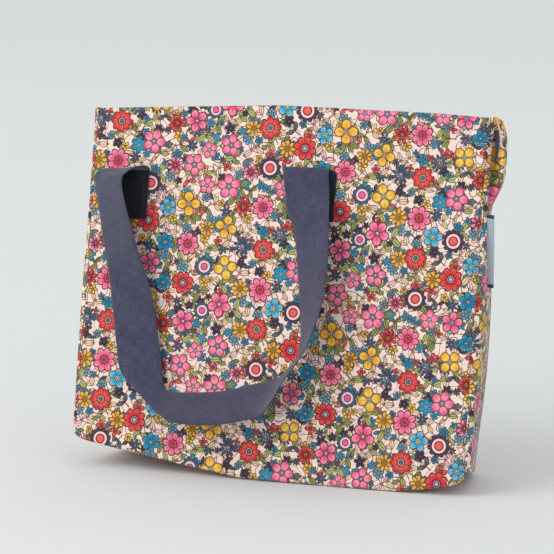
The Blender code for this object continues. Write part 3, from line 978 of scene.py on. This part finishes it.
def make_handle(side, name, body, looks):
    """A strap with the stitching of its sewn ends."""
    pairs = [(strap_point(side, outer), strap_point(side, inner)) for outer, inner in strap_edges()]
    # The second material colours the strap's reverse face near-black as painted shade.
    faces = [looks["canvas"], looks["shaded_canvas_reverse"]]
    strap = ribbon(f"{name}_strap", pairs, STRAP_THICKNESS, faces, widths=12)
    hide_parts(f"{name}_handle", f"{name}_handle_end_left", f"{name}_handle_end_right")
    length = sum(((a + b) / 2 - (c + d) / 2).length for (a, b), (c, d) in zip(pairs, pairs[1:]))
    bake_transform(strap)
    for hand, word in HANDS:
        middle = HANDLE_X + hand * HANDLE_SPACING / 2
        top, bottom = FOLD_DEPTH[hand] + 0.007, FOLD_DEPTH[hand] + STRAP_END_LENGTH - 0.005
        runs = box_and_cross(side, middle, top, bottom, STRAP_END_OUT + STRAP_THICKNESS / 2)
        sewn = stitches(f"{name}_end_stitches_{word}", runs, looks["thread"])
        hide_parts(f"{name}_end_stitching_{word}")
        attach(sewn, body)


# ---- rim stitches, seams, tab, pocket

SEAM_ALLOWANCE = 0.009
POCKET_CLOTH = 0.0009
POCKET_CORNER = 0.012
POCKET_BINDING = 0.012

# How far inside the back panel the pocket's layers lie
POCKET_IN = 0.0017
POCKET_TRIM_IN = 0.0030
FLAP_IN = 0.0040
STUD_CAP_IN = 0.0046

# The press stud's two halves: (share of the radius, height) from the foot up
STUD_CAP = ((1, 0.0), (1, 0.0004), (0.93, 0.0009), (0.7, 0.0013), (0.62, 0.0012), (0.3, 0.0014),
            (0.05, 0.0014))
STUD_SOCKET = ((1, 0.0), (1, 0.0003), (0.8, 0.0006), (0.5, 0.0006), (0.45, 0.0002), (0.1, 0.0002))


def make_rim_stitches(side, name, body, looks):
    """The row of stitches that holds a panel's hem."""
    half, steps = WIDTH / 2 - EDGE_ROUND, 60
    spots = []
    for k in range(steps + 1):
        x = half * (2 * k / steps - 1)
        z = rim_z(x, ACROSS[side]) - HEM_DEPTH + 0.002
        spots.append(panel_point(side, x, RIM_HEIGHT - z, CLOTH / 2 + panel_wave(side, x, z)))
    runs = [(a, b, panel_outward(side)) for a, b in zip(spots, spots[1:])]
    row = stitches(f"{name}_rim_stitches", runs, looks["pale_thread"], radius=0.00015)
    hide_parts(f"{name}_hem_stitching")
    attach(row, body)


def side_seam_edges(hand, steps=48):
    """The root and the free edge of a side's seam allowance, from its foot up."""
    edges = []
    for k in range(steps + 1):
        z = 0.018 + (RIM_HEIGHT - 0.034) * k / steps
        spot = side_curve(z, 0.5, hand)
        wave = 0.0012 * math.sin(z * 90) if 0 < k < steps else 0.0
        root = BAG + Vector((hand * (spot.x - 0.0012), spot.y, z))
        edges.append((root, root + Vector((-hand * SEAM_ALLOWANCE, wave, 0))))
    return edges


def foot_seam_edges(side, steps=60):
    """The root and the free edge of a foot's seam allowance, from left to right."""
    half = side_half(0.0, ACROSS[side]) - 0.014
    edges = []
    for k in range(steps + 1):
        x = half * (2 * k / steps - 1)
        depth = PANEL_DEPTH[side] - 0.0035 - foot_z(x, ACROSS[side])
        wave = 0.0006 * math.sin((BAG.x + x) * 160)
        edges.append((
            panel_point(side, x, depth, -0.0022),
            panel_point(side, x, depth - SEAM_ALLOWANCE, wave - 0.0026),
        ))
    return edges


def make_seams(looks):
    """The bound seam allowances that stand inside the bag."""
    for hand, word in HANDS[::-1]:
        edges = side_seam_edges(hand)
        seam = ribbon(f"{word}_seam_binding", edges, 0.0018, [looks["binding"]])
        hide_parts(f"{word}_side_seam")
        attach(seam, f"{word}_seam")
    for side, name, body in SIDES:
        edges = foot_seam_edges(side)
        seam = ribbon(f"{name}_foot_binding", edges, 0.0016, [looks["binding"]])
        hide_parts(f"{name}_base_seam")
        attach(seam, body)


def make_tab(looks):
    """The woven tab, from inside the side cloth out to its free edge."""
    low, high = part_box("side_label")
    y, height, steps = (low.y + high.y) / 2, high.z - low.z, 32
    edges = []
    for k in range(steps + 1):
        z = low.z + height * k / steps + 0.004
        bow = 0.0008 * math.sin(math.pi * k / steps)
        root = Vector((low.x - 0.0078, y, z))
        edges.append((root, Vector((high.x - 0.0090, y + 0.0010 + bow, z - 0.0006))))
    tab = ribbon("side_tab", edges, 0.0011, [looks["tab"]])
    for loop in tab.data.uv_layers["cloth"].data:
        loop.uv = (loop.uv[0], loop.uv[1] - height / 2)
    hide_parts("side_label")
    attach(tab, "label")
    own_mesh(tab)


def on_back_panel(node):
    """A node on the back panel: half its width, and how far down its upper and lower edges are."""
    low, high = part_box(node)
    top, bottom = ((RIM_HEIGHT - z) / math.cos(LEAN[1]) for z in (high.z, low.z))
    return (high.x - low.x) / 2, top, bottom


def pocket_sheet(name, node, inside, looks, columns, rows, billow=0.0):
    """A sheet inside the back panel with rounded lower corners, and its (width, height)."""
    half, top, bottom = on_back_panel(node)

    def corner(i, j):
        v, u = i / rows, 2 * j / columns - 1
        depth = top + (bottom - top) * v
        rest = bottom - depth
        pull = corner_lift(rest, POCKET_CORNER, POCKET_CORNER) if rest < POCKET_CORNER else 0.0
        x = (half - pull) * u
        swell = billow * (1 - u**4) * math.sin(math.pi * min(1.0, v * 1.15)) ** 0.7
        swell += 0.0003 * noise.noise(Vector((x * 60, depth * 60, top)))
        return panel_point(1, x, depth, -inside - swell), (x, -depth)

    grid = grid_of(range(rows + 1), columns, corner)
    sheet = cloth(name, grid, -1, [looks["print"]] * 2, thickness=POCKET_CLOTH)
    return sheet, (2 * half, bottom - top)


def stud_half(name, node, inside, profile, looks):
    """One half of the press stud, turned to face into the bag."""
    radius, top, bottom = on_back_panel(node)
    rings = [(radius * share, height) for share, height in profile]
    place = panel_point(1, 0, (top + bottom) / 2, -inside)
    return turned(name, rings, place, -panel_outward(1), looks["stud"])


def make_pocket(looks):
    """The stow pocket inside the back panel, its bound edge, its flap and the press stud."""
    pocket, size = pocket_sheet("pocket_cloth", "stow_pocket", POCKET_IN, looks, 40, 36, 0.0009)
    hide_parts("stow_pocket")
    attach(pocket, "back")
    half, top, _ = on_back_panel("stow_pocket")
    depths = (top + POCKET_BINDING, top + 0.0004)
    edges = [
        [panel_point(1, half * (k / 15 - 1), depth, -POCKET_TRIM_IN) for depth in depths]
        for k in range(31)
    ]
    binding = ribbon("pocket_edge", edges, 0.0012, [looks["binding"]])
    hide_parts("pocket_binding")
    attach(binding, "back")
    flap, size = pocket_sheet("flap_cloth", "pocket_flap", FLAP_IN, looks, 32, 16)
    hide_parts("pocket_flap")
    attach(flap, "flap")
    cap = stud_half("stud_cap_shell", "stud_cap", STUD_CAP_IN, STUD_CAP, looks)
    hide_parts("stud_cap")
    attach(cap, "flap")
    socket = stud_half("stud_socket_ring", "stud_socket", POCKET_TRIM_IN, STUD_SOCKET, looks)
    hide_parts("stud_socket")
    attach(socket, "back")


# ---- studio

CAMERA_LENS = 300.0
CAMERA_DISTANCE = 4.64
VIEW_RIGHT = -0.0179
VIEW_UP = 0.1873

# Each light's name, place, target, size, power and colour
LIGHTS = (
    ("key", (-1.9, -1.7, 1.8), (0, 0, 0.18), 2.6, 38, (1.0, 1.0, 0.99)),
    ("fill", (1.7, -1.8, 1.0), (0, 0, 0.18), 1.6, 5, (0.95, 0.98, 1.0)),
    ("low_fill", (-0.7, -2.4, 0.16), (0, 0, 0.06), 0.9, 13, (1.0, 0.98, 0.97)),
)


def make_camera():
    """The photo's view: from the bag's right and a little above."""
    turn, rise = math.radians(20.0), math.radians(10.3)
    right = Vector((math.cos(turn), math.sin(turn), 0))
    up = Vector((-math.sin(turn) * math.sin(rise), math.cos(turn) * math.sin(rise), math.cos(rise)))
    back = right.cross(up)
    data = bpy.data.cameras.new("camera")
    data.lens = CAMERA_LENS
    camera = in_scene("camera", data)
    place = BAG + right * VIEW_RIGHT + up * VIEW_UP + back * CAMERA_DISTANCE
    facing = Matrix((right, up, back)).transposed().to_4x4()
    camera.matrix_world = Matrix.Translation(place) @ facing
    bpy.context.scene.camera = camera


def area_light(name, place, target, size, power, colour):
    data = bpy.data.lights.new(name, "AREA")
    data.shape = "DISK"
    data.size = size
    data.energy = power
    data.color = colour
    lamp = in_scene(name, data)
    lamp.location = place
    lamp.rotation_euler = (Vector(target) - Vector(place)).to_track_quat("-Z", "Y").to_euler()


def make_stage():
    """A pale floor, painted lighter towards the back as painted light, and a pale surround with
    soft light.
    """
    bm = bmesh.new()
    bmesh.ops.create_grid(bm, x_segments=1, y_segments=1, size=6.0)
    made, net, shader, _ = start_material("studio_floor", 0.9)
    # Painted light: the floor's colour goes from darker at the front to lighter at the back.
    _, y, _ = net.axes(object_place(net))
    shade = net.mix(net.soft_step(y, -0.5, 2.2), srgb(225, 225, 225), srgb(237, 238, 237))
    net.feed(shader, {"Base Color": shade, "Specular IOR Level": 0.1})
    floor = new_object("studio_floor", bm, [made])
    floor.location = (0, 0, -0.0004)
    world = bpy.data.worlds.new("studio")
    world.use_nodes = True
    background = world.node_tree.nodes["Background"]
    background.inputs["Color"].default_value = srgb(217, 222, 221)
    background.inputs["Strength"].default_value = 1.10
    bpy.context.scene.world = world
    for light in LIGHTS:
        area_light(*light)
    bpy.context.scene.view_settings.view_transform = "Standard"


def main():
    print_group = floral_group()
    strap_line, binding_line = 0.0205, 0.0030
    # The navy tones colour the strap's reverse face near-black. That face shows on the sewn ends
    # and under the loop, so this is painted shade for the shadow between strap and panel.
    slate, navy = (srgb(49, 49, 71), srgb(75, 74, 99)), (srgb(15, 15, 23), srgb(27, 27, 39))
    looks = {
        "print": printed_cotton(print_group, "printed_cotton", 1.0, CREAM),
        "reverse": printed_cotton(print_group, "printed_cotton_reverse", 0.30, srgb(236, 214, 204)),
        "canvas": canvas("slate_chambray", *slate, strap_line),
        "shaded_canvas_reverse": canvas("slate_chambray_reverse_painted_shade", *navy, strap_line),
        "binding": canvas("slate_binding", srgb(60, 60, 84), srgb(88, 88, 112), binding_line),
        "thread": thread_material("slate_thread", srgb(40, 40, 58)),
        "pale_thread": thread_material("cream_thread", srgb(232, 206, 194)),
        "tab": woven_tab("woven_tab"),
        "stud": stud_metal("brushed_stud"),
    }
    make_stage()
    make_camera()
    make_cloth(looks)
    for side, name, body in SIDES:
        make_handle(side, name, body, looks)
        make_rim_stitches(side, name, body, looks)
    make_seams(looks)
    make_tab(looks)
    make_pocket(looks)


main()
